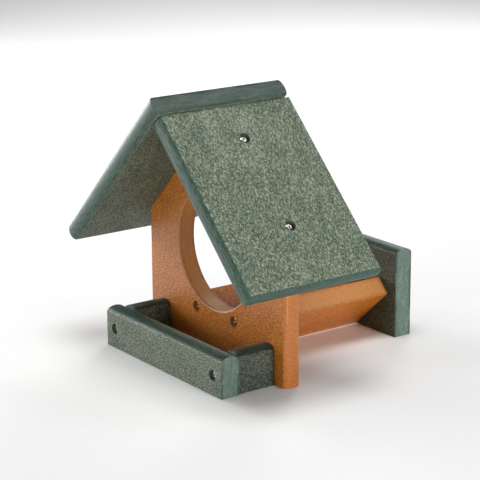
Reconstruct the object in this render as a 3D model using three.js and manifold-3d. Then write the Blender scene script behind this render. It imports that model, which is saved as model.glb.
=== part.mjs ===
// Jar feeder made of recycled-plastic boards: an upright wall with a round hole, two roof panels,
// an open rail frame in front of the wall, a V cradle behind it that holds a jar, and a back board.
// Every board is screwed to its neighbour with pan-head screws that sit in counterbores.
// Millimetres. +X right, +Y towards the back board, +Z up. The wall's front face is y = 0 and its
// bottom is z = 0 while the boards are laid out; the whole feeder is then centred on its origin.

import * as THREE from "three";
import { mergeVertices } from "three/addons/utils/BufferGeometryUtils.js";
import Module from "manifold-3d";

// ---- Driving dimensions ----

const BOARD = 19; // thickness of the wall and the roof panels
const RAIL_BOARD = 21; // thickness of the tray, cradle and back boards
const PANEL_CROWN = 4; // how far a shaped edge of the wall or the roof bulges
const RAIL_CROWN = 5.5; // and the top edge of a tray or back board
const GAP = 0.3; // clearance between boards that touch

const WALL_W = 235;
const WALL_SIDE_H = 130.5; // height of the wall's upright sides
const HOLE_R = 62.5;
const HOLE_Z = 114;
const HOLE_RIM_R = 2; // round-over of the hole's front rim

const PITCH = THREE.MathUtils.degToRad(45);
const ROOF_DEPTH = 158.5; // front edge to rear edge
const ROOF_FRONT = { left: 76, right: 71.5 }; // reach in front of the wall's front face
const EAVE_X = 159; // outer corner of each eave, from the centre plane
const RIDGE_LAP = 3; // how far the left panel stands proud of the right one
const RIDGE_GAP = 0.6; // open joint between the two panels

const TRAY_W = 204;
const TRAY_D = 64.5; // front of the front board, from the wall
const TRAY_H = 41;
const ARM_INSET = 1.5; // how far the arms' outer faces stand in from the front board's ends

const CRADLE_SLOPE = THREE.MathUtils.degToRad(42);
const CRADLE_BOARD_W = 67.5; // from the bottom corner of the V to the board's top corner
const CRADLE_L = 168; // from the wall's back to the back board

const BACK_W = 124;
const BACK_H = 95;

// Screws: pan head with a square recess, sunk in a counterbore.
const COUNTERBORE_R = 5.6;
const SEAT_DEPTH = 5.2; // surface to the underside of the head
const HEAD_R = 4.3;
const HEAD_H = 2.6;
const HEAD_CROWN_R = 1.2; // rounding of the head's top edge
const SHANK_R = 2.1;
const SHANK_L = 32;
const TIP_L = 4;
const RECESS_W = 2.6;
const RECESS_DEPTH = 1.7;
const SHANK_CLEARANCE = 0.3;

// Screw places, each from the centre plane and the wall's bottom, or down the roof from its peak.
const ROOF_SCREWS_DOWN = { upper: 58, lower: 160 };
const TRAY_FRONT_SCREW = { x: 87.5, z: 20.5 };
const TRAY_ARM_SCREW = { x: 92.5, z: 10.5 };
const CRADLE_SCREW = { x: 32.5, z: 46.5 };

// Facets.
const EDGE_STEPS = 6;
const HOLE_STEPS = 72;
const SCREW_STEPS = 20;
const CROWN_STEPS = 3;

const OVERCUT = 1; // how far a cutter runs past the surface it enters
const MERGE_DISTANCE = 1e-4;

// ---- Derived places ----

// The outer roof faces would cross on the centre plane at this height.
const WALL_PEAK_Z = WALL_SIDE_H + (WALL_W / 2) * Math.tan(PITCH);
const ROOF_PEAK_Z = WALL_PEAK_Z + (BOARD + GAP) / Math.cos(PITCH);
const EAVE_DOWN = EAVE_X / Math.cos(PITCH); // slope length from peak to eave
const CRADLE_REAR_Y = BOARD + CRADLE_L;
const BACK_Y = CRADLE_REAR_Y + RAIL_BOARD; // rear face of the back board
const CENTRE_Y = (BACK_Y - ROOF_FRONT.left) / 2; // middle of the feeder's depth

const X = new THREE.Vector3(1, 0, 0);
const Y = new THREE.Vector3(0, 1, 0);
const Z = new THREE.Vector3(0, 0, 1);
const FORWARD = new THREE.Vector3(0, -1, 0);
const BACKWARD = new THREE.Vector3(0, 1, 0);
const SIDES = { left: -1, right: 1 };

// ---- Solids ----

const wasm = await Module();
wasm.setup();

// A closed geometry as a manifold-3d solid.
function solidOf(geometry) {
  const bare = geometry.index ? geometry.toNonIndexed() : geometry.clone();
  bare.deleteAttribute("normal");
  bare.deleteAttribute("uv");
  const merged = mergeVertices(bare, MERGE_DISTANCE);
  const vertProperties = new Float32Array(merged.attributes.position.array);
  const triVerts = new Uint32Array(merged.index.array);
  return new wasm.Manifold(new wasm.Mesh({ numProp: 3, vertProperties, triVerts }));
}

// A solid back as a geometry.
function geometryOf(solid) {
  const mesh = solid.getMesh();
  const geometry = new THREE.BufferGeometry();
  geometry.setAttribute("position", new THREE.BufferAttribute(mesh.vertProperties, 3));
  geometry.setIndex(new THREE.BufferAttribute(mesh.triVerts, 1));
  geometry.computeVertexNormals();
  return geometry;
}

// An outline whose own x and y run in the directions across and along, extruded from start to end
// in the direction of their cross product.
function prism(outline, across, along, start, end) {
  const geometry = new THREE.ExtrudeGeometry(outline, {
    depth: end - start,
    bevelEnabled: false,
    curveSegments: EDGE_STEPS,
  });
  const axis = new THREE.Vector3().crossVectors(across, along);
  geometry.translate(0, 0, start);
  geometry.applyMatrix4(new THREE.Matrix4().makeBasis(across, along, axis));
  return solidOf(geometry);
}

// The section of a board, from start to end along x and one thickness above y = base. Each end is
// half an ellipse that bulges by its crown, or a square saw cut where that is 0.
function boardSection(start, end, base, thickness, startCrown, endCrown) {
  const half = thickness / 2;
  const middle = base + half;
  const shape = new THREE.Shape();
  shape.moveTo(start + startCrown, base);
  shape.lineTo(end - endCrown, base);
  if (endCrown) {
    shape.absellipse(end - endCrown, middle, endCrown, half, -Math.PI / 2, Math.PI / 2);
  }
  shape.lineTo(end - endCrown, base + thickness);
  shape.lineTo(start + startCrown, base + thickness);
  if (startCrown) {
    shape.absellipse(start + startCrown, middle, startCrown, half, Math.PI / 2, 1.5 * Math.PI);
  }
  return shape;
}

const polygon = (points) => new THREE.Shape(points.map(([x, y]) => new THREE.Vector2(x, y)));

// ---- Screws ----

// Lathed about +Z, from a profile of [radius, height] pairs listed from the bottom up.
function turned(profile, steps) {
  const points = profile.map(([r, z]) => new THREE.Vector2(r, z));
  const geometry = new THREE.LatheGeometry(points, steps);
  geometry.rotateX(Math.PI / 2);
  return solidOf(geometry);
}

// The board surface is z = 0 in a screw's own frame, and the screw points down -Z.
function screwGeometry() {
  const seat = GAP - SEAT_DEPTH;
  const top = seat + HEAD_H;
  const crown = [];
  for (let i = 0; i <= CROWN_STEPS; i++) {
    const angle = (i / CROWN_STEPS) * (Math.PI / 2);
    const r = HEAD_R - HEAD_CROWN_R * (1 - Math.cos(angle));
    crown.push([r, top - HEAD_CROWN_R * (1 - Math.sin(angle))]);
  }
  const profile = [
    [0, seat - SHANK_L],
    [SHANK_R, seat - SHANK_L + TIP_L],
    [SHANK_R, seat],
    [HEAD_R, seat],
    ...crown,
    [0, top],
  ];
  const half = RECESS_W / 2;
  const square = polygon([
    [-half, -half],
    [half, -half],
    [half, half],
    [-half, half],
  ]);
  const recess = prism(square, X, Y, top - RECESS_DEPTH, top + OVERCUT);
  return geometryOf(turned(profile, SCREW_STEPS).subtract(recess));
}

// What a screw needs cut away: the counterbore, and a hole with clearance round the shank.
function screwHole() {
  const bore = SHANK_R + SHANK_CLEARANCE;
  return turned(
    [
      [0, -SEAT_DEPTH - SHANK_L - SHANK_CLEARANCE],
      [bore, -SEAT_DEPTH - SHANK_L - SHANK_CLEARANCE],
      [bore, -SEAT_DEPTH],
      [COUNTERBORE_R, -SEAT_DEPTH],
      [COUNTERBORE_R, OVERCUT],
      [0, OVERCUT],
    ],
    SCREW_STEPS,
  );
}

// Turns +Z to the way a screw's head faces, and moves the surface point there.
function screwFrame(at, out) {
  const turn = new THREE.Quaternion().setFromUnitVectors(Z, out);
  return new THREE.Matrix4().compose(at, turn, new THREE.Vector3(1, 1, 1));
}

// A point on a roof panel's outer face, this far down the slope from the peak.
function roofPoint(side, down, y) {
  const x = side * down * Math.cos(PITCH);
  return new THREE.Vector3(x, y, ROOF_PEAK_Z - down * Math.sin(PITCH));
}

function screwList() {
  const screws = [];
  const add = (name, at, out, boards) => screws.push({ name, frame: screwFrame(at, out), boards });
  for (const [name, side] of Object.entries(SIDES)) {
    const roofOut = new THREE.Vector3(side * Math.sin(PITCH), 0, Math.cos(PITCH));
    for (const [level, down] of Object.entries(ROOF_SCREWS_DOWN)) {
      const at = roofPoint(side, down, BOARD / 2);
      add(`roof_screw_${name}_${level}`, at, roofOut, [`roof_panel_${name}`, "gable_wall"]);
    }
    const front = new THREE.Vector3(side * TRAY_FRONT_SCREW.x, -TRAY_D, TRAY_FRONT_SCREW.z);
    add(`tray_front_screw_${name}`, front, FORWARD, ["tray_front_board", `tray_arm_${name}`]);
    const arm = new THREE.Vector3(side * TRAY_ARM_SCREW.x, BOARD, TRAY_ARM_SCREW.z);
    add(`tray_arm_screw_${name}`, arm, BACKWARD, ["gable_wall", `tray_arm_${name}`]);
    const cradleFront = new THREE.Vector3(side * CRADLE_SCREW.x, 0, CRADLE_SCREW.z);
    add(`cradle_front_screw_${name}`, cradleFront, FORWARD, ["gable_wall", `cradle_board_${name}`]);
    const cradleRear = new THREE.Vector3(side * CRADLE_SCREW.x, BACK_Y, CRADLE_SCREW.z);
    add(`cradle_rear_screw_${name}`, cradleRear, BACKWARD, ["back_board", `cradle_board_${name}`]);
  }
  return screws;
}

// ---- Boards, each a solid in its own frame ----

// House outline, with shaped upright edges and a round hole.
function gableWall() {
  const half = WALL_W / 2;
  // [z, x] pairs
  const house = polygon([
    [0, -half],
    [0, half],
    [WALL_SIDE_H, half],
    [WALL_PEAK_Z, 0],
    [WALL_SIDE_H, -half],
  ]);
  const plan = boardSection(-half, half, 0, BOARD, PANEL_CROWN, PANEL_CROWN);
  const upright = prism(plan, X, Y, -OVERCUT, WALL_PEAK_Z + OVERCUT);
  return prism(house, Z, X, 0, BOARD).intersect(upright).subtract(holeCutter());
}

// A cylinder about +Y that flares into the round-over of the front rim.
function holeCutter() {
  const rim = [];
  for (let i = 0; i <= EDGE_STEPS; i++) {
    const angle = (1 - i / EDGE_STEPS) * (Math.PI / 2);
    const r = HOLE_R + HOLE_RIM_R * (1 - Math.cos(angle));
    rim.push(new THREE.Vector2(r, HOLE_RIM_R * (1 - Math.sin(angle))));
  }
  const points = [
    new THREE.Vector2(0, -OVERCUT),
    new THREE.Vector2(HOLE_R + HOLE_RIM_R, -OVERCUT),
    ...rim,
    new THREE.Vector2(HOLE_R, BOARD + OVERCUT),
    new THREE.Vector2(0, BOARD + OVERCUT),
  ];
  const geometry = new THREE.LatheGeometry(points, HOLE_STEPS);
  geometry.translate(0, 0, HOLE_Z);
  return solidOf(geometry);
}

// The panel runs from its saw-cut top end at x = 0 down to its eave, with its outer face at z = 0.
// The side edges and the eave are shaped alike, and meet in mitres.
function roofPanel(length) {
  const half = ROOF_DEPTH / 2;
  const acrossSection = boardSection(-half, half, -BOARD, BOARD, PANEL_CROWN, PANEL_CROWN);
  const lengthSection = boardSection(0, length, -BOARD, BOARD, 0, PANEL_CROWN);
  const sides = prism(acrossSection, Y, Z, 0, length);
  return sides.intersect(prism(lengthSection, X, Z, -half, half));
}

// An upright board along X, centred there, its front face at y = 0, with a shaped top edge.
function rail(width, height) {
  const section = boardSection(0, height, 0, RAIL_BOARD, 0, RAIL_CROWN);
  return prism(section, Z, Y, -width / 2, width / 2);
}

// The V of the cradle. The right board runs to the bottom corner, and the left one butts against it.
function cradleBoard(side) {
  const [c, s] = [Math.cos(CRADLE_SLOPE), Math.sin(CRADLE_SLOPE)];
  // a point this far up the board's outer face and this far in from it, as a [z, x] pair
  const point = (up, inward) => [up * s + inward * c, side * (up * c - inward * s)];
  const spread = 2 * CRADLE_SLOPE;
  const reach = RAIL_BOARD + GAP;
  const outerStart = side > 0 ? 0 : reach / Math.sin(spread);
  const innerStart = side > 0 ? 0 : (reach - RAIL_BOARD * Math.cos(spread)) / Math.sin(spread);
  const outline = polygon([
    point(outerStart, 0),
    point(CRADLE_BOARD_W, 0),
    point(CRADLE_BOARD_W, RAIL_BOARD),
    point(innerStart, RAIL_BOARD),
  ]);
  return prism(outline, Z, X, GAP, CRADLE_L - GAP);
}

// Where the panels' top ends stop, as a slope length from the peak: the left one runs past the
// right one's outer face, and the right one stops at the left one's underside.
const LEFT_TOP_DOWN = -RIDGE_LAP;
const RIGHT_TOP_DOWN = (BOARD + RIDGE_GAP) / Math.sin(2 * PITCH);

// A panel's own frame: down the slope, along the depth and out of the face.
function roofFrame(side, topDown, front) {
  const at = roofPoint(side, topDown, ROOF_DEPTH / 2 - front);
  const turn = new THREE.Euler(0, side * PITCH, side > 0 ? 0 : Math.PI);
  const quaternion = new THREE.Quaternion().setFromEuler(turn);
  return new THREE.Matrix4().compose(at, quaternion, new THREE.Vector3(1, 1, 1));
}

// A quarter turn about Z, for the rails that run front to back.
function armFrame(side) {
  const length = TRAY_D - RAIL_BOARD - 2 * GAP;
  const x = side * (TRAY_W / 2 - ARM_INSET - RAIL_BOARD / 2) + RAIL_BOARD / 2;
  const at = new THREE.Matrix4().makeTranslation(x, -GAP - length / 2, 0);
  return at.multiply(new THREE.Matrix4().makeRotationZ(Math.PI / 2));
}

const moved = (x, y, z) => new THREE.Matrix4().makeTranslation(x, y, z);

function boardList() {
  const boards = [
    { name: "gable_wall", solid: gableWall(), frame: moved(0, 0, 0), finish: "cedar" },
    {
      name: "roof_panel_left",
      solid: roofPanel(EAVE_DOWN - LEFT_TOP_DOWN),
      frame: roofFrame(SIDES.left, LEFT_TOP_DOWN, ROOF_FRONT.left),
      finish: "green",
    },
    {
      name: "roof_panel_right",
      solid: roofPanel(EAVE_DOWN - RIGHT_TOP_DOWN),
      frame: roofFrame(SIDES.right, RIGHT_TOP_DOWN, ROOF_FRONT.right),
      finish: "green",
    },
    {
      name: "tray_front_board",
      solid: rail(TRAY_W, TRAY_H),
      frame: moved(0, -TRAY_D, 0),
      finish: "green",
    },
    {
      name: "back_board",
      solid: rail(BACK_W, BACK_H),
      frame: moved(0, CRADLE_REAR_Y, 0),
      finish: "green",
    },
  ];
  for (const [name, side] of Object.entries(SIDES)) {
    boards.push({
      name: `tray_arm_${name}`,
      solid: rail(TRAY_D - RAIL_BOARD - 2 * GAP, TRAY_H),
      frame: armFrame(side),
      finish: "green",
    });
    boards.push({
      name: `cradle_board_${name}`,
      solid: cradleBoard(side),
      frame: moved(0, BOARD, 0),
      finish: "cedar",
    });
  }
  return boards;
}

// ---- Assembly ----

const FINISHES = {
  green: new THREE.MeshStandardMaterial({ color: 0x78876f, roughness: 0.6, metalness: 0 }),
  cedar: new THREE.MeshStandardMaterial({ color: 0xb06a3c, roughness: 0.55, metalness: 0 }),
  steel: new THREE.MeshStandardMaterial({ color: 0xcfc8c0, roughness: 0.3, metalness: 1 }),
};

function meshAt(name, geometry, finish, frame) {
  const mesh = new THREE.Mesh(geometry, FINISHES[finish]);
  mesh.name = name;
  mesh.applyMatrix4(frame);
  return mesh;
}

// A board with the holes of its screws drilled.
function drilled(board, screws) {
  const toBoard = board.frame.clone().invert();
  let solid = board.solid;
  for (const screw of screws.filter(({ boards }) => boards.includes(board.name))) {
    const matrix = toBoard.clone().multiply(screw.frame);
    solid = solid.subtract(screwHole().transform(matrix.elements));
  }
  return geometryOf(solid);
}

const layout = new THREE.Group();
const screws = screwList();
for (const board of boardList()) {
  layout.add(meshAt(board.name, drilled(board, screws), board.finish, board.frame));
}
for (const screw of screws) {
  layout.add(meshAt(screw.name, screwGeometry(), "steel", screw.frame));
}
layout.position.y = -CENTRE_Y;

const feeder = new THREE.Group();
feeder.add(layout);

export default feeder;
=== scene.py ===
"""A jar feeder of recycled-plastic boards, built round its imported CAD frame.

Every board is remade finer than its CAD solid and in the same place: its shaped edges as smooth
half ellipses, broken arrises on the sawn ends, and drilled counterbores. The screws get their
threads. Metres.

A board's own frame has x along its grain, y across it and z out of its outer face, with z = 0 on
that face. The materials read those coordinates, so speckle and saw marks follow each board.
"""

import math

import bmesh
import bpy
from mathutils import Matrix, Vector


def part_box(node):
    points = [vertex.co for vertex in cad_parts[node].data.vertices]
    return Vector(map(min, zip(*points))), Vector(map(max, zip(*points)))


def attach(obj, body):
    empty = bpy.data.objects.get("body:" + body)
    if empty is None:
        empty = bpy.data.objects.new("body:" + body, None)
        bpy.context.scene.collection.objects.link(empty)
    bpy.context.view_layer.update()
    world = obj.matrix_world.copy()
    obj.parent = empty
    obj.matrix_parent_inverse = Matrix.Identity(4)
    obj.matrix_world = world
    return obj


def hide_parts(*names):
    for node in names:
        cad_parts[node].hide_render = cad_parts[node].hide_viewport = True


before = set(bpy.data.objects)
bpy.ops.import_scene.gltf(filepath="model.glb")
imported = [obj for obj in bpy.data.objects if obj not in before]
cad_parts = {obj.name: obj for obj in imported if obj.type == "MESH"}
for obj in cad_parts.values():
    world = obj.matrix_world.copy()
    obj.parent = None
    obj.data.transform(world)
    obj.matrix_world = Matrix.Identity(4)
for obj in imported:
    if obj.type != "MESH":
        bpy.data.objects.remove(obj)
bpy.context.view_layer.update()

MM = 0.001

# ---- Sizes that the frame's boxes don't give ----

PANEL_CROWN = 4 * MM  # how far a shaped edge of the wall or the roof bulges
RAIL_CROWN = 5.5 * MM  # and the top edge of a tray or back board
ARRIS = 0.35 * MM  # the broken edge of a saw cut or a drilled hole
PITCH = math.radians(45)
CRADLE_SLOPE = math.radians(42)
HOLE_R = 62.5 * MM
HOLE_Z = 114 * MM
HOLE_RIM_R = 2 * MM
JOINT_GAP = 0.3 * MM

COUNTERBORE_R = 5.6 * MM
SEAT_DEPTH = 5.2 * MM
SHANK_R = 2.1 * MM
SHANK_CORE_R = 1.65 * MM
HEAD_R = 4.3 * MM
HEAD_H = 2.6 * MM
PAN_POWER = 4  # the superellipse of the pan head's section
RECESS_W = 2.6 * MM
RECESS_DEPTH = 1.7 * MM
TIP_L = 4 * MM
THREAD_PITCH = 1.8 * MM

EDGE_STEPS = 28  # round the half ellipse of a shaped edge
HOLE_STEPS = 160
RIM_STEPS = 8
HEAD_RINGS = 14
BORE_STEPS = 48
HEAD_STEPS = 48
RINGS_PER_PITCH = 8
OVERCUT = 2 * MM
MERGE_DISTANCE = 0.001 * MM
ARRIS_SEGMENTS = 2
RIDGE_HALF_WIDTH = 0.3  # of a thread, as a share of its pitch

# Face kinds on a board, each one a slot in the board's list of materials.
SURFACE, SAWN = 0, 1


# ---- Reading the frame ----

def low(node):
    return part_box(node)[0]


def high(node):
    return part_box(node)[1]


def spread(node, way):
    """The least and greatest reach of a node along a direction."""
    reach = [v.co.dot(Vector(way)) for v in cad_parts[node].data.vertices]
    return min(reach), max(reach)


# How thick the wall and the roof panels are, and then the narrower boards.
PANEL = high("gable_wall").y - low("gable_wall").y
RAIL = high("tray_front_board").y - low("tray_front_board").y
WALL_FRONT_Y = low("gable_wall").y


def board_frame(origin, across, along):
    """A frame with x and y along the given directions, and z out of the board's face."""
    x, y = Vector(across).normalized(), Vector(along).normalized()
    turn = Matrix((x, y, x.cross(y))).transposed().to_4x4()
    return Matrix.Translation(Vector(origin)) @ turn


# ---- Meshes ----

def inset_outline(points, amounts):
    """An anticlockwise outline with edge i (from point i to i + 1) moved inwards by amounts[i]."""
    lines = []
    for i, point in enumerate(points):
        start, end = Vector(point), Vector(points[(i + 1) % len(points)])
        way = (end - start).normalized()
        lines.append((start + Vector((-way.y, way.x)) * amounts[i], way))
    moved = []
    for i, (point, way) in enumerate(lines):
        before, before_way = lines[i - 1]
        gap = point - before
        turn = before_way.cross(way)
        moved.append(before + before_way * (gap.cross(way) / turn))
    return moved


def edge_profile(crown, thickness):
    """(inset, depth) pairs of a shaped edge, from the outer face to the inner one."""
    if not crown:
        return [(0, 0), (0, thickness)]
    angles = [math.pi * i / EDGE_STEPS for i in range(EDGE_STEPS + 1)]
    return [(crown * (1 - math.sin(a)), thickness / 2 * (1 - math.cos(a))) for a in angles]


def board_mesh(outline, shaped, crown, thickness):
    """A board whose outer face is z = 0; shaped says which of the outline's edges bulge."""
    mesh = bmesh.new()
    rings = []
    for inset, depth in edge_profile(crown, thickness):
        ring = inset_outline(outline, [inset if edge else 0 for edge in shaped])
        rings.append([mesh.verts.new((p.x, p.y, -depth)) for p in ring])
    mesh.faces.new(rings[0]).material_index = SURFACE
    mesh.faces.new(list(reversed(rings[-1]))).material_index = SURFACE
    for upper, under in zip(rings, rings[1:]):
        for i, edge in enumerate(shaped):
            j = (i + 1) % len(outline)
            quad = mesh.faces.new((upper[i], under[i], under[j], upper[j]))
            quad.material_index = SURFACE if edge else SAWN
    return mesh


def turned_mesh(profile, steps, radius_at=None):
    """A lathed solid about z from (radius, height) pairs, top first, from the axis to the axis."""
    mesh = bmesh.new()
    rings = []
    for radius, height in profile:
        if not radius:
            rings.append([mesh.verts.new((0, 0, height))])
            continue
        ring = []
        for i in range(steps):
            angle = 2 * math.pi * i / steps
            r = radius_at(radius, height, angle) if radius_at else radius
            ring.append(mesh.verts.new((r * math.cos(angle), r * math.sin(angle), height)))
        rings.append(ring)
    for upper, under in zip(rings, rings[1:]):
        for i in range(steps):
            j = (i + 1) % steps
            corners = [
                upper[i % len(upper)],
                under[i % len(under)],
                under[j % len(under)],
                upper[j % len(upper)],
            ]
            mesh.faces.new(list(dict.fromkeys(corners)))
    return mesh


def to_object(mesh, name, matrix, materials, kind=None):
    if kind is not None:
        for face in mesh.faces:
            face.material_index = kind
    bmesh.ops.recalc_face_normals(mesh, faces=mesh.faces)
    data = bpy.data.meshes.new(name)
    mesh.to_mesh(data)
    mesh.free()
    for material in materials:
        data.materials.append(material)
    piece = bpy.data.objects.new(name, data)
    piece.matrix_world = matrix
    bpy.context.scene.collection.objects.link(piece)
    return piece


def apply_modifiers(piece):
    bpy.context.view_layer.update()
    graph = bpy.context.evaluated_depsgraph_get()
    done = bpy.data.meshes.new_from_object(piece.evaluated_get(graph))
    piece.modifiers.clear()
    piece.data = done


def cut(piece, cutters):
    """Takes the cutters away from a piece and removes them."""
    for cutter in cutters:
        modifier = piece.modifiers.new("cut", "BOOLEAN")
        modifier.operation = "DIFFERENCE"
        modifier.solver = "EXACT"
        modifier.object = cutter
    apply_modifiers(piece)
    for cutter in cutters:
        bpy.data.objects.remove(cutter)


SMOOTH_ANGLE = math.radians(32)
ARRIS_ANGLE = math.radians(50)
NORMAL_WEIGHT = 80  # how far large faces outweigh small ones in the shading


def smooth(piece):
    """Shades a piece smooth between its sharp edges, with flat faces kept flat."""
    for polygon in piece.data.polygons:
        polygon.use_smooth = True
    piece.data.set_sharp_from_angle(angle=SMOOTH_ANGLE)
    modifier = piece.modifiers.new("weighted", "WEIGHTED_NORMAL")
    modifier.keep_sharp = True
    modifier.weight = NORMAL_WEIGHT
    apply_modifiers(piece)


def break_arrises(piece):
    """Breaks the sharp edges that a saw or drill leaves."""
    mesh = bmesh.new()
    mesh.from_mesh(piece.data)
    bmesh.ops.remove_doubles(mesh, verts=mesh.verts, dist=MERGE_DISTANCE)
    sharp = []
    for edge in mesh.edges:
        if len(edge.link_faces) == 2 and edge.calc_face_angle(0) > ARRIS_ANGLE:
            if any(face.material_index == SAWN for face in edge.link_faces):
                sharp.append(edge)
    bmesh.ops.bevel(
        mesh,
        geom=sharp,
        offset=ARRIS,
        segments=ARRIS_SEGMENTS,
        profile=0.5,
        affect="EDGES",
        clamp_overlap=True,
    )
    mesh.to_mesh(piece.data)
    mesh.free()


# ---- Screws ----

ROOF_OUT = {
    "left": (-math.sin(PITCH), 0, math.cos(PITCH)),
    "right": (math.sin(PITCH), 0, math.cos(PITCH)),
}
FRONT, BACK = (0, -1, 0), (0, 1, 0)


def screw_plan():
    """Each screw's head direction and the boards it passes through, by the screw's CAD name."""
    plan = {}
    for side, roof_out in ROOF_OUT.items():
        panel, arm, cradle = f"roof_panel_{side}", f"tray_arm_{side}", f"cradle_board_{side}"
        for level in ("upper", "lower"):
            plan[f"roof_screw_{side}_{level}"] = (roof_out, (panel, "gable_wall"))
        plan[f"tray_front_screw_{side}"] = (FRONT, ("tray_front_board", arm))
        plan[f"tray_arm_screw_{side}"] = (BACK, ("gable_wall", arm))
        plan[f"cradle_front_screw_{side}"] = (FRONT, ("gable_wall", cradle))
        plan[f"cradle_rear_screw_{side}"] = (BACK, ("back_board", cradle))
    return plan


PLAN = screw_plan()
SHANK_L = spread("tray_arm_screw_left", BACK)[1] - spread("tray_arm_screw_left", BACK)[0] - HEAD_H


def screw_frame(node):
    """A screw's frame: z out of the board that its head is in, and z = 0 on that board's face."""
    out = Vector(PLAN[node][0])
    centre = (low(node) + high(node)) / 2
    head_top = spread(node, out)[1] - centre.dot(out)
    face = centre + out * (head_top - HEAD_H - JOINT_GAP + SEAT_DEPTH)
    turn = Vector((0, 0, 1)).rotation_difference(out).to_matrix().to_4x4()
    return Matrix.Translation(face) @ turn


def drill(node):
    """The cutter that one screw leaves: a counterbore and its pilot hole."""
    pilot = SHANK_R + JOINT_GAP
    end = -(SEAT_DEPTH + SHANK_L + JOINT_GAP)
    profile = [
        (0, OVERCUT),
        (COUNTERBORE_R, OVERCUT),
        (COUNTERBORE_R, -SEAT_DEPTH),
        (pilot, -SEAT_DEPTH),
        (pilot, end),
        (0, end),
    ]
    return to_object(turned_mesh(profile, BORE_STEPS), f"drill_{node}", screw_frame(node), [], SAWN)


def thread_radius(radius, height, angle):
    """The shank's radius with a helical ridge on it."""
    if radius != SHANK_R:
        return radius
    turn = (height / THREAD_PITCH - angle / (2 * math.pi)) % 1
    ridge = max(0, 1 - abs(turn - 0.5) / RIDGE_HALF_WIDTH)
    return SHANK_CORE_R + (SHANK_R - SHANK_CORE_R) * ridge


def make_screw(node, material):
    seat = JOINT_GAP - SEAT_DEPTH
    top = seat + HEAD_H
    crown = []
    for i in range(1, HEAD_RINGS + 1):
        angle = math.pi / 2 * i / HEAD_RINGS
        radius = HEAD_R * math.sin(angle) ** (2 / PAN_POWER)
        crown.append((radius, seat + HEAD_H * max(0, math.cos(angle)) ** (2 / PAN_POWER)))
    crown[-1] = (HEAD_R, seat)
    head = [(0, top), *crown, (SHANK_CORE_R, seat)]
    threads = int((SHANK_L - TIP_L - HEAD_H) / THREAD_PITCH) * RINGS_PER_PITCH
    first = seat - HEAD_H / 2
    shank = [(SHANK_CORE_R, first)]
    for i in range(1, threads):
        shank.append((SHANK_R, first - i * THREAD_PITCH / RINGS_PER_PITCH))
    tip = [(SHANK_CORE_R, seat - SHANK_L + TIP_L), (0, seat - SHANK_L)]
    mesh = turned_mesh([*head, *shank, *tip], HEAD_STEPS, thread_radius)
    screw = to_object(mesh, f"{node}_fine", screw_frame(node), [material])
    recess = bmesh.new()
    depth = RECESS_DEPTH + OVERCUT
    bmesh.ops.create_cube(recess, size=1)
    bmesh.ops.scale(recess, vec=(RECESS_W, RECESS_W, depth), verts=recess.verts)
    place = screw_frame(node) @ Matrix.Translation((0, 0, top - RECESS_DEPTH + depth / 2))
    cut(screw, [to_object(recess, f"recess_{node}", place, [material])])
    smooth(screw)
    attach(screw, "root")
    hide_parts(node)


# ---- Boards ----

def finish_board(node, mesh, matrix, slot, extra_cutters=()):
    piece = to_object(mesh, f"{node}_fine", matrix, board_materials(node, slot))
    drills = [drill(screw) for screw, (_, boards) in PLAN.items() if node in boards]
    cutters = [*extra_cutters, *drills]
    if cutters:
        cut(piece, cutters)
    break_arrises(piece)
    smooth(piece)
    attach(piece, "root")
    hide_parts(node)


def hole_cutter():
    """The wall's round hole, flared at the front rim."""
    rim = []
    for i in range(RIM_STEPS + 1):
        angle = math.pi / 2 * i / RIM_STEPS
        rim.append((HOLE_R + HOLE_RIM_R * (1 - math.sin(angle)), -HOLE_RIM_R * (1 - math.cos(angle))))
    mouth = HOLE_R + HOLE_RIM_R
    back = -PANEL - OVERCUT
    profile = [(0, OVERCUT), (mouth, OVERCUT), *rim, (HOLE_R, back), (0, back)]
    matrix = board_frame((0, WALL_FRONT_Y, HOLE_Z), (1, 0, 0), (0, 0, 1))
    return to_object(turned_mesh(profile, HOLE_STEPS), "hole_cutter", matrix, [], SAWN)


def make_gable_wall():
    half = high("gable_wall").x
    peak = high("gable_wall").z
    side = peak - half * math.tan(PITCH)
    outline = [(-half, 0), (half, 0), (half, side), (0, peak), (-half, side)]
    mesh = board_mesh(outline, [False, True, False, False, True], PANEL_CROWN, PANEL)
    matrix = board_frame((0, WALL_FRONT_Y, 0), (1, 0, 0), (0, 0, 1))
    finish_board("gable_wall", mesh, matrix, "cedar_board", [hole_cutter()])


def make_roof_panel(side):
    """Its x runs down the slope from the sawn top end."""
    node = f"roof_panel_{side}"
    sign = 1 if side == "right" else -1
    out = Vector(ROOF_OUT[side])
    down = Vector((sign * math.cos(PITCH), 0, -math.sin(PITCH)))
    top, eave = spread(node, down)
    half = (high(node).y - low(node).y) / 2
    middle = (high(node).y + low(node).y) / 2
    length = eave - top
    outline = [(0, -half), (length, -half), (length, half), (0, half)]
    mesh = board_mesh(outline, [True, True, True, False], PANEL_CROWN, PANEL)
    origin = down * top + out * spread(node, out)[1] + Vector((0, middle, 0))
    finish_board(node, mesh, board_frame(origin, down, out.cross(down)), "green_board")


def make_rail(node, way, face):
    """An upright board; its x runs along way, its y up, and its outer face holds the point face."""
    least, most = spread(node, way)
    half = (most - least) / 2
    height = high(node).z
    outline = [(-half, 0), (half, 0), (half, height), (-half, height)]
    mesh = board_mesh(outline, [False, False, True, False], RAIL_CROWN, RAIL)
    finish_board(node, mesh, board_frame(face, way, (0, 0, 1)), "green_board")


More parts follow.
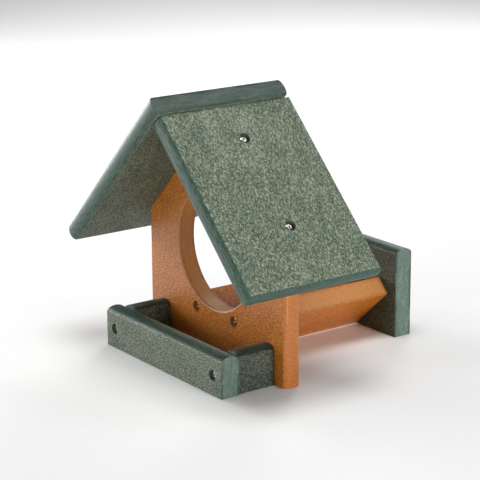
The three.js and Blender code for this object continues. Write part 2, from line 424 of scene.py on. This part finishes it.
def make_cradle_board(side):
    """Its x runs along the cradle and its y up the slope, with the outer face at z = 0."""
    node = f"cradle_board_{side}"
    sign = 1 if side == "right" else -1
    up = Vector((sign * math.cos(CRADLE_SLOPE), 0, math.sin(CRADLE_SLOPE)))
    out = Vector((sign * math.sin(CRADLE_SLOPE), 0, -math.cos(CRADLE_SLOPE)))
    face = spread(node, out)[1]
    top = spread(node, up)[1]
    corners = [v.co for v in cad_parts[node].data.vertices]
    outer_foot = min(co.dot(up) for co in corners if co.dot(out) > face - ARRIS)
    inner_foot = min(co.dot(up) for co in corners if co.dot(out) < face - RAIL + ARRIS)
    half = (high(node).y - low(node).y) / 2
    middle = (high(node).y + low(node).y) / 2
    outline = [(-half, outer_foot), (half, outer_foot), (half, top), (-half, top)]
    mesh = board_mesh(outline, [False] * len(outline), 0, RAIL)
    for vertex in mesh.verts:
        if vertex.co.z < -RAIL / 2 and vertex.co.y < (outer_foot + top) / 2:
            vertex.co.y = inner_foot
    origin = out * face + Vector((0, middle, 0))
    finish_board(node, mesh, board_frame(origin, (0, sign, 0), up), "cedar_board")


BOARDS = [
    "gable_wall",
    "roof_panel_left",
    "roof_panel_right",
    "tray_front_board",
    "tray_arm_left",
    "tray_arm_right",
    "cradle_board_left",
    "cradle_board_right",
    "back_board",
]


# ---- Materials ----

# Outputs of the texture coordinate node.
NORMAL, OBJECT = 1, 3

# Sizes of the patterns' cells.
PATCH_SIZE = 18 * MM
EDGE_LINE_SIZE = 1.6 * MM
SAW_MARK_SIZE = 1.6 * MM
PORE_SIZE = 0.9 * MM
WISP_SIZE = 6 * MM
SKIN_CELL = 5 * MM
SCRATCH_SIZE = 0.35 * MM
PAPER_TOOTH = 4 * MM

SKIN_WANDER = 3 * MM  # how far a sawn end's skin wanders in and out
SAW_RELIEF = 0.08 * MM
SCRATCH_RELIEF = 0.02 * MM

class Graph:
    """A material and short ways to add nodes to it."""

    def __init__(self, name):
        self.material = bpy.data.materials.new(name)
        self.material.use_nodes = True
        self.nodes = self.material.node_tree.nodes
        self.shader = self.nodes["Principled BSDF"]

    def set(self, socket, value):
        if isinstance(value, bpy.types.NodeSocket):
            self.material.node_tree.links.new(value, socket)
        elif isinstance(value, tuple) and len(value) == 3 and len(socket.default_value) == 4:
            socket.default_value = (*value, 1)
        else:
            socket.default_value = value

    def add(self, kind, inputs, output=0, **settings):
        node = self.nodes.new(kind)
        for name, value in settings.items():
            setattr(node, name, value)
        for name, value in inputs.items():
            self.set(node.inputs[name], value)
        return node.outputs[output]

    def math(self, operation, a, b=0.0, clamp=False):
        return self.add("ShaderNodeMath", {0: a, 1: b}, operation=operation, use_clamp=clamp)

    def mix(self, factor, a, b):
        """Mixes two colours."""
        inputs = {0: factor, 6: a, 7: b}
        return self.add("ShaderNodeMix", inputs, output=2, data_type="RGBA")

    def mix_value(self, factor, a, b):
        return self.add("ShaderNodeMix", {0: factor, 2: a, 3: b}, data_type="FLOAT")

    def place(self, stretch, seed):
        """The board's own coordinates, scaled and moved to this board's stretch of pattern."""
        coordinates = self.add("ShaderNodeTexCoord", {}, output=OBJECT)
        offset = (seed * 0.7, seed * 1.3, seed * 0.4)
        inputs = {"Vector": coordinates, "Scale": stretch, "Location": offset}
        return self.add("ShaderNodeMapping", inputs)

    def noise(self, vector, size, detail=2.0, roughness=0.5, distortion=0.0):
        """Noise between about 0.3 and 0.7 whose cells are size metres across."""
        inputs = {
            "Vector": vector,
            "Scale": 1 / size,
            "Detail": detail,
            "Roughness": roughness,
            "Distortion": distortion,
        }
        return self.add("ShaderNodeTexNoise", inputs)

    def step(self, value, low_end, high_end):
        """0 below low_end, 1 above high_end, smooth between."""
        inputs = {"Value": value, "From Min": low_end, "From Max": high_end}
        return self.add("ShaderNodeMapRange", inputs, interpolation_type="SMOOTHSTEP")

    def ramp(self, factor, stops):
        ramp = self.nodes.new("ShaderNodeValToRGB")
        elements = ramp.color_ramp.elements
        while len(elements) < len(stops):
            elements.new(0.5)
        for element, (position, color) in zip(elements, stops):
            element.position = position
            element.color = (*color, 1)
        self.set(ramp.inputs["Fac"], factor)
        return ramp.outputs["Color"]


def srgb(red, green, blue):
    """A colour given as 0 to 255 screen values, in linear light."""
    def linear(value):
        value /= 255
        return value / 12.92 if value <= 0.04045 else ((value + 0.055) / 1.055) ** 2.4
    return linear(red), linear(green), linear(blue)


FINISHES = {
    "green_board": {
        "speckle": [
            (0.36, srgb(30, 50, 40)),
            (0.45, srgb(80, 99, 83)),
            (0.54, srgb(120, 132, 110)),
            (0.65, srgb(184, 186, 160)),
        ],
        "speckle_size": 1.35 * MM,
        "speckle_stretch": 0.6,
        "edge": [(0.36, srgb(22, 47, 37)), (0.64, srgb(72, 102, 88))],
        "core": srgb(102, 125, 114),
        "skin": srgb(40, 68, 56),
        "streak": srgb(140, 160, 148),
        "specular": 0.42,
        "face_roughness": 0.58,
        "edge_roughness": 0.43,
        "stipple": 0.24 * MM,
    },
    "cedar_board": {
        "speckle": [
            (0.36, srgb(126, 60, 9)),
            (0.46, srgb(166, 92, 20)),
            (0.55, srgb(182, 109, 29)),
            (0.66, srgb(210, 145, 60)),
        ],
        "speckle_size": 1.3 * MM,
        "speckle_stretch": 0.35,
        "edge": [(0.38, srgb(160, 86, 21)), (0.62, srgb(191, 114, 37))],
        "core": srgb(206, 137, 72),
        "skin": srgb(176, 104, 44),
        "streak": srgb(216, 156, 96),
        "specular": 0.6,
        "face_roughness": 0.4,
        "edge_roughness": 0.3,
        "stipple": 0.11 * MM,
    },
}

# Each board's faces and sawn ends get a tone of their own. The darker face tones of the tray arms and
# the back board are partly their own darker colour and partly painted shade from the roof and the
# tray around them. The brighter face tone of cradle_board_right is painted light from the floor below
# it. The other face tones and all the end tones differ from board to board.
FACE_TONES_AND_PAINTED_LIGHT = {
    "gable_wall": 1,
    "roof_panel_left": 0.75,
    "roof_panel_right": 0.86,
    "tray_front_board": 0.7,
    "tray_arm_left": 0.5,
    "tray_arm_right": 0.3,
    "cradle_board_left": 1,
    "cradle_board_right": 1.25,
    "back_board": 0.32,
}
END_TONES = {
    "roof_panel_left": 0.44,
    "roof_panel_right": 0.6,
    "tray_front_board": 0.75,
    "back_board": 0.85,
    "gable_wall": 0.85,
    "cradle_board_left": 0.85,
    "cradle_board_right": 0.85,
}
PANEL_BOARDS = {"gable_wall", "roof_panel_left", "roof_panel_right"}

# How far a board's surface has to turn from its flat face before the embossing stops.
EMBOSS_ENDS = (math.cos(math.radians(44)), math.cos(math.radians(36)))


def toned(stops, tone):
    return [(position, tuple(tone * part for part in color)) for position, color in stops]


def surface_material(node, slot):
    """Embossed speckle on the flat faces, and smooth, darker shaped edges."""
    finish = FINISHES[slot]
    seed = BOARDS.index(node)
    g = Graph(f"{slot}_surface_{seed}")
    fine = g.place((finish["speckle_stretch"], 1, 1), seed)
    streaks = g.place((0.2, 1, 1), seed)
    broad = g.place((0.5, 1, 1), seed)

    size = finish["speckle_size"]
    grain = g.noise(fine, size, detail=4, roughness=0.7, distortion=0.4)
    patches = g.noise(broad, PATCH_SIZE, detail=2)
    tone = g.math("ADD", grain, g.math("MULTIPLY", patches, 0.12))
    # On the tray arms and the back board this tone darkens the speckle, partly as painted shade. On
    # cradle_board_right it brightens it as painted light.
    speckle = g.ramp(g.math("SUBTRACT", tone, 0.06), toned(finish["speckle"], FACE_TONES_AND_PAINTED_LIGHT[node]))

    lines = g.noise(streaks, EDGE_LINE_SIZE, detail=4, roughness=0.75)
    # The same tone, softened, darkens the shaped edges of the tray arms and the back board, partly as
    # painted shade under the roof.
    smooth_color = g.ramp(lines, toned(finish["edge"], FACE_TONES_AND_PAINTED_LIGHT[node] ** 0.5))

    normal = g.add("ShaderNodeTexCoord", {}, output=NORMAL)
    parts = g.nodes.new("ShaderNodeSeparateXYZ")
    g.set(parts.inputs[0], normal)
    facing = g.math("ABSOLUTE", parts.outputs["Z"])
    ragged = g.math("MULTIPLY", g.noise(fine, size), 0.12)
    embossed = g.step(g.math("ADD", facing, g.math("SUBTRACT", ragged, 0.06)), *EMBOSS_ENDS)

    g.set(g.shader.inputs["Base Color"], g.mix(embossed, smooth_color, speckle))
    g.set(g.shader.inputs["Specular IOR Level"], finish["specular"])
    face_rough = g.math("MULTIPLY", grain, 0.3)
    face_rough = g.math("ADD", face_rough, finish["face_roughness"] - 0.15)
    edge_rough = g.math("ADD", g.math("MULTIPLY", lines, 0.16), finish["edge_roughness"] - 0.08)
    g.set(g.shader.inputs["Roughness"], g.mix_value(embossed, edge_rough, face_rough))

    pits = g.noise(fine, size * 0.6, detail=2, roughness=0.5)
    height = g.mix_value(embossed, g.math("MULTIPLY", lines, 0.25), pits)
    inputs = {"Height": height, "Strength": 0.8, "Distance": finish["stipple"]}
    g.set(g.shader.inputs["Normal"], g.add("ShaderNodeBump", inputs))
    return g.material


def sawn_material(node, slot):
    """A sawn end: a dark dense skin round a paler core, with pale wisps and faint saw marks."""
    finish = FINISHES[slot]
    tone = END_TONES.get(node, 1)
    core, skin_color, streak = (
        tuple(tone * part for part in finish[layer]) for layer in ("core", "skin", "streak")
    )
    thickness = PANEL if node in PANEL_BOARDS else RAIL
    seed = BOARDS.index(node)
    g = Graph(f"{slot}_sawn_{seed}")
    marks_at = g.place((1, 0.08, 1), seed)
    fine = g.place((1, 1, 1), seed)
    coordinates = g.add("ShaderNodeTexCoord", {}, output=OBJECT)
    parts = g.nodes.new("ShaderNodeSeparateXYZ")
    g.set(parts.inputs[0], coordinates)
    from_middle = g.math("ABSOLUTE", g.math("ADD", parts.outputs["Z"], thickness / 2))
    wander = g.math("MULTIPLY", g.noise(fine, SKIN_CELL), SKIN_WANDER)
    depth = g.math("SUBTRACT", g.math("ADD", from_middle, wander), SKIN_WANDER / 2)
    skin = g.step(depth, thickness * 0.28, thickness * 0.5)

    marks = g.noise(marks_at, SAW_MARK_SIZE, detail=3, roughness=0.7, distortion=0.6)
    pores = g.noise(fine, PORE_SIZE, detail=3, roughness=0.65)
    wisps_at = g.place((1, 0.3, 1), seed)
    wisps = g.noise(wisps_at, WISP_SIZE, detail=4, roughness=0.7, distortion=1.0)
    color = g.mix(skin, core, skin_color)
    color = g.mix(g.math("MULTIPLY", g.step(wisps, 0.48, 0.66), 0.6), color, streak)
    color = g.mix(g.math("MULTIPLY", g.step(marks, 0.44, 0.7), 0.7), color, streak)
    color = g.mix(g.math("MULTIPLY", g.step(pores, 0.44, 0.7), 0.7), color, skin_color)
    g.set(g.shader.inputs["Base Color"], color)
    g.set(g.shader.inputs["Specular IOR Level"], finish["specular"])
    rough = g.math("ADD", g.math("MULTIPLY", marks, 0.25), 0.4)
    g.set(g.shader.inputs["Roughness"], rough)
    height = g.math("ADD", g.math("MULTIPLY", marks, 0.7), g.math("MULTIPLY", pores, 0.4))
    inputs = {"Height": height, "Strength": 0.7, "Distance": SAW_RELIEF}
    g.set(g.shader.inputs["Normal"], g.add("ShaderNodeBump", inputs))
    return g.material


def board_materials(node, slot):
    return [surface_material(node, slot), sawn_material(node, slot)]


def steel_material():
    """Stainless steel with fine irregular scratches."""
    g = Graph("screw_steel")
    coordinates = g.add("ShaderNodeTexCoord", {}, output=OBJECT)
    g.set(g.shader.inputs["Metallic"], 1.0)
    scratches = g.noise(coordinates, SCRATCH_SIZE, detail=3, roughness=0.7)
    tint = g.ramp(scratches, [(0.35, srgb(176, 168, 159)), (0.65, srgb(218, 211, 203))])
    g.set(g.shader.inputs["Base Color"], tint)
    g.set(g.shader.inputs["Roughness"], g.math("ADD", g.math("MULTIPLY", scratches, 0.2), 0.12))
    inputs = {"Height": scratches, "Strength": 0.3, "Distance": SCRATCH_RELIEF}
    g.set(g.shader.inputs["Normal"], g.add("ShaderNodeBump", inputs))
    return g.material


def floor_material():
    """White studio paper with a very faint tooth."""
    g = Graph("studio_floor")
    coordinates = g.add("ShaderNodeTexCoord", {}, output=OBJECT)
    tooth = g.noise(coordinates, PAPER_TOOTH, detail=3)
    g.set(g.shader.inputs["Base Color"], g.ramp(tooth, [(0.3, (0.91,) * 3), (0.7, (0.94,) * 3)]))
    g.set(g.shader.inputs["Roughness"], 0.9)
    return g.material


# ---- Camera, light and floor ----

CAMERA_AZIMUTH = math.radians(54.09)
CAMERA_ELEVATION = math.radians(15.65)
CAMERA_ROLL = math.radians(-0.40)
CAMERA_DISTANCE = 1.788
CAMERA_AIM = Vector((-0.0107, -0.0258, 0.1150))
CAMERA_LENS = 131.8

FLOOR_HALF = 8
WORLD_STRENGTH = 0.05

# Each soft light's name, place, diameter in metres and power in watts.
LIGHTS = [
    ("left", (-2.0, -0.4, 0.5), 0.9, 27),
    ("left_front", (-1.6, -1.3, 0.5), 0.9, 14),
    ("front", (-0.25, -2.0, 1.0), 0.9, 4),
    ("right_front", (0.7, -2.0, 0.35), 0.8, 10),
    ("right", (2.1, 0.3, 0.45), 0.9, 28),
    ("top", (0.1, 0.0, 2.3), 1.2, 24),
    ("back_left", (-1.3, 1.6, 1.2), 0.9, 13),
    ("back_top", (0.65, 1.36, 2.0), 0.6, 4),
]


def make_camera():
    a, e, r = CAMERA_AZIMUTH, CAMERA_ELEVATION, CAMERA_ROLL
    back = Vector((math.sin(a) * math.cos(e), -math.cos(a) * math.cos(e), math.sin(e)))
    level = Vector((math.cos(a), math.sin(a), 0))
    upright = back.cross(level)
    right = level * math.cos(r) + upright * math.sin(r)
    up = upright * math.cos(r) - level * math.sin(r)
    data = bpy.data.cameras.new("camera")
    data.sensor_width = 36
    data.lens = CAMERA_LENS
    data.clip_end = 50
    camera = bpy.data.objects.new("camera", data)
    turn = Matrix((right, up, back)).transposed().to_4x4()
    camera.matrix_world = Matrix.Translation(CAMERA_AIM + back * CAMERA_DISTANCE) @ turn
    bpy.context.scene.collection.objects.link(camera)
    bpy.context.scene.camera = camera


def make_floor():
    mesh = bmesh.new()
    bmesh.ops.create_grid(mesh, x_segments=1, y_segments=1, size=FLOOR_HALF)
    to_object(mesh, "floor", Matrix.Translation((0, 0, -ARRIS)), [floor_material()])


def area_light(name, location, size, power):
    """A round soft light aimed at the middle of the feeder."""
    target = Vector((0, 0, high("gable_wall").z / 2))
    data = bpy.data.lights.new(name, "AREA")
    data.shape = "DISK"
    data.size = size
    data.energy = power
    light = bpy.data.objects.new(name, data)
    way = Vector(location) - target
    turn = way.to_track_quat("Z", "Y").to_matrix().to_4x4()
    light.matrix_world = Matrix.Translation(Vector(location)) @ turn
    bpy.context.scene.collection.objects.link(light)


def background_light():
    """Lights the paper behind the feeder from above."""
    data = bpy.data.lights.new("background", "AREA")
    data.shape = "DISK"
    data.size = 2.6
    data.energy = 18
    data.spread = math.radians(110)
    light = bpy.data.objects.new("background", data)
    light.location = (-2.5, 1.9, 2.5)
    bpy.context.scene.collection.objects.link(light)


def make_world():
    world = bpy.data.worlds.new("studio")
    world.use_nodes = True
    background = world.node_tree.nodes["Background"]
    background.inputs["Color"].default_value = (1, 1, 1, 1)
    background.inputs["Strength"].default_value = WORLD_STRENGTH
    bpy.context.scene.world = world


bpy.context.scene.view_settings.view_transform = "Standard"
make_camera()
make_world()
make_floor()
for light in LIGHTS:
    area_light(*light)
background_light()

make_gable_wall()
make_rail("tray_front_board", (1, 0, 0), (0, low("tray_front_board").y, 0))
make_rail("back_board", (-1, 0, 0), (0, high("back_board").y, 0))
for side, sign in (("left", -1), ("right", 1)):
    make_roof_panel(side)
    arm = f"tray_arm_{side}"
    outer_x = high(arm).x if sign > 0 else low(arm).x
    make_rail(arm, (0, sign, 0), (outer_x, (low(arm).y + high(arm).y) / 2, 0))
    make_cradle_board(side)
steel = steel_material()
for screw_node in PLAN:
    make_screw(screw_node, steel)
